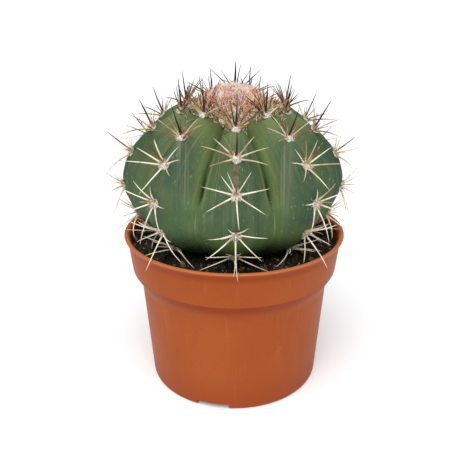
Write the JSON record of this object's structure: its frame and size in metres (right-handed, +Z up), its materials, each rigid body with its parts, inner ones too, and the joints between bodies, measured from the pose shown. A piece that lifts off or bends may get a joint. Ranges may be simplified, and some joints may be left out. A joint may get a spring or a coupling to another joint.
{
  "type": "potted melon cactus",
  "caption": "Globular ribbed melon cactus with straw and dark spines and a young woolly cap, growing in a round terracotta-coloured plastic nursery pot with soil.",
  "frame": {"origin": "middle of the pot's flat foot, on the surface that the pot stands on", "axes": "+Z up along the pot's axis, -Y towards the side with the front rib, +X to that viewer's right"},
  "size_m": [0.1432, 0.1468, 0.1858],
  "materials": {
    "pot": "matte terracotta-coloured polypropylene",
    "soil": "dark crumbly peat with bark and grit",
    "stem": "waxy bluish-green plant skin",
    "young_spines": "dark reddish-brown young spines on white felt",
    "old_spines": "straw-coloured old spines on white felt",
    "cephalium": "white wool with pink and red-brown bristles"
  },
  "bodies": {
    "root": {"pot": "pot", "soil": "soil", "stem": "stem", "cephalium": "cephalium", "areole_1_1": "young_spines", "areole_1_2": "old_spines", "areole_1_3": "old_spines", "areole_1_4": "old_spines", "areole_1_5": "old_spines", "areole_2_1": "young_spines", "areole_2_2": "young_spines", "areole_2_3": "old_spines", "areole_2_4": "old_spines", "areole_2_5": "old_spines", "areole_2_6": "old_spines", "areole_3_1": "young_spines", "areole_3_2": "old_spines", "areole_3_3": "old_spines", "areole_3_4": "old_spines", "areole_3_5": "old_spines", "areole_3_6": "old_spines", "areole_4_1": "young_spines", "areole_4_2": "old_spines", "areole_4_3": "old_spines", "areole_4_4": "old_spines", "areole_4_5": "old_spines", "areole_5_1": "young_spines", "areole_5_2": "young_spines", "areole_5_3": "old_spines", "areole_5_4": "old_spines", "areole_5_5": "old_spines", "areole_5_6": "old_spines", "areole_6_1": "young_spines", "areole_6_2": "old_spines", "areole_6_3": "old_spines", "areole_6_4": "old_spines", "areole_6_5": "old_spines", "areole_6_6": "old_spines", "areole_7_1": "young_spines", "areole_7_2": "old_spines", "areole_7_3": "old_spines", "areole_7_4": "old_spines", "areole_7_5": "old_spines", "areole_7_6": "old_spines", "areole_8_1": "young_spines", "areole_8_2": "old_spines", "areole_8_3": "old_spines", "areole_8_4": "old_spines", "areole_8_5": "old_spines", "areole_8_6": "old_spines", "areole_9_1": "young_spines", "areole_9_2": "young_spines", "areole_9_3": "old_spines", "areole_9_4": "old_spines", "areole_9_5": "old_spines", "areole_9_6": "old_spines"}
  },
  "joints": []
}
